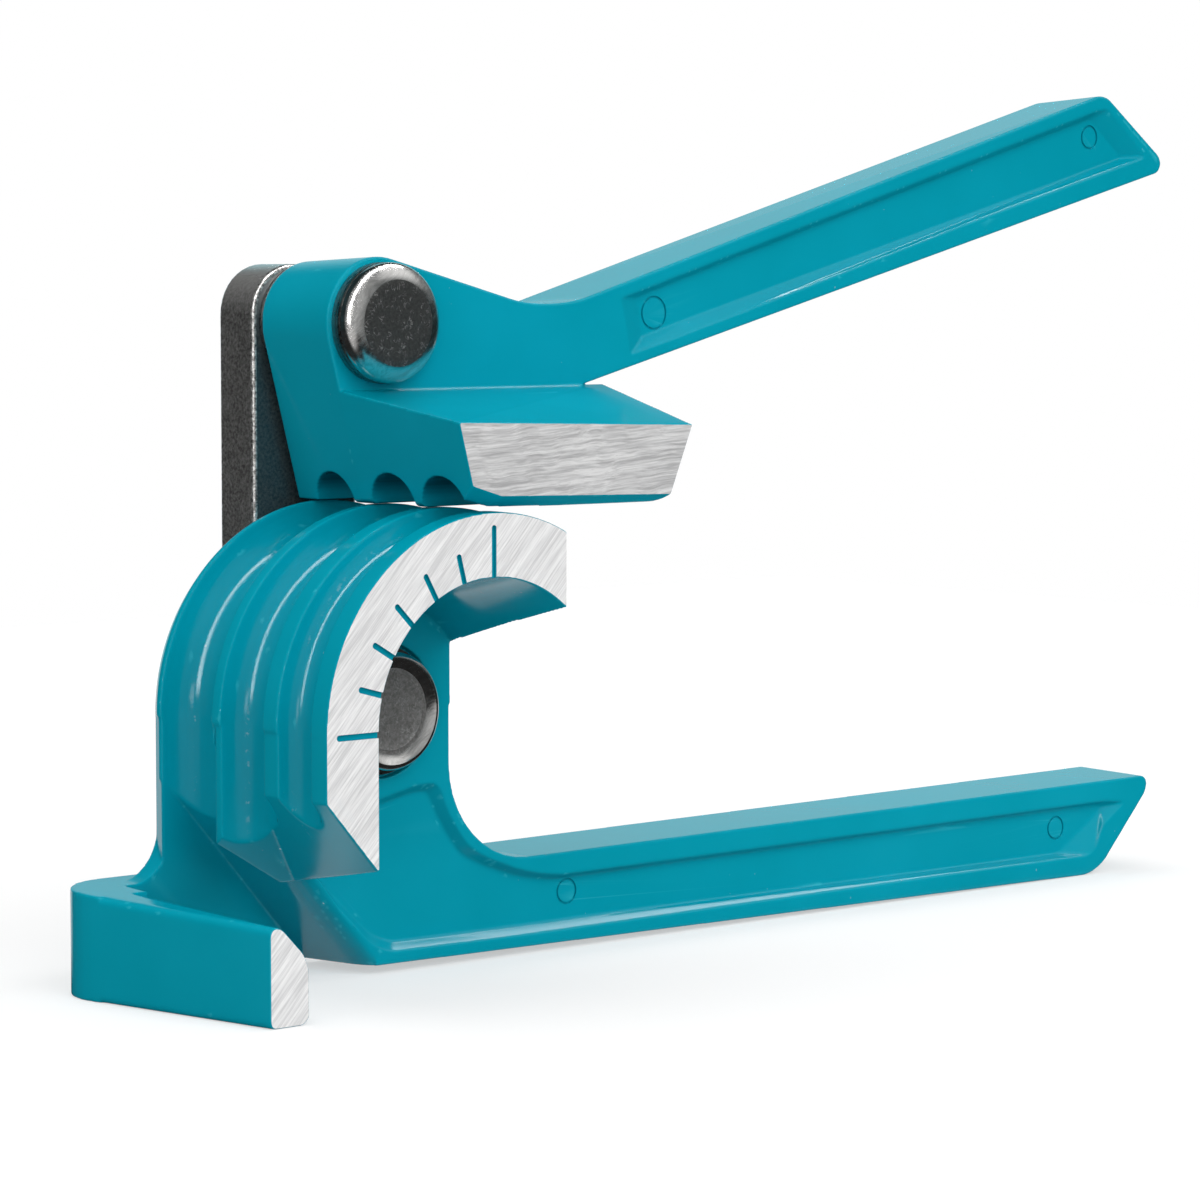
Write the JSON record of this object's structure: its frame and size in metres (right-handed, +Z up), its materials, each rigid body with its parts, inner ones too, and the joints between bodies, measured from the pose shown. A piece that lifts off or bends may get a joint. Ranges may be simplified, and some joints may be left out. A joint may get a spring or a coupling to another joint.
{
  "type": "tube bender",
  "caption": "Small lever tube bender: a grooved former with hook and lower handle, a lever with bending shoe, and a link bar on riveted pins.",
  "frame": {"origin": "on the bench below the middle of the tool", "axes": "+X along the handles towards their ends, +Y away from the ground front faces, +Z up from the bench"},
  "size_m": [0.1822, 0.0462, 0.1113],
  "materials": {
    "casting": "gloss teal enamel over a die casting, ground bare on the front faces",
    "link": "dark oiled steel with bright worn edges",
    "pin": "polished rim and dull scratched flat",
    "washer": "plain dull steel"
  },
  "bodies": {
    "former": {"former_body": "casting"},
    "link": {"link_bar": "link", "lever_pin": "pin", "lever_head_washer": "washer", "lever_spring_washer": "washer", "lever_thrust_washer": "washer", "lever_tail_washer": "washer", "former_pin": "pin", "former_head_washer": "washer", "former_thrust_washer": "washer", "former_tail_washer": "washer"},
    "lever": {"lever_handle": "casting"}
  },
  "joints": [
    {"name": "link_swing", "type": "hinge", "parent": "former", "child": "link", "pos_m": [-0.05329, 0.01257, 0.0325], "axis": [0, 1, 0], "range_deg": [-90, 32]},
    {"name": "lever_swing", "type": "hinge", "parent": "link", "child": "lever", "pos_m": [-0.05329, 0.01257, 0.0795], "axis": [0, 1, 0], "range_deg": [-120, 0]}
  ]
}
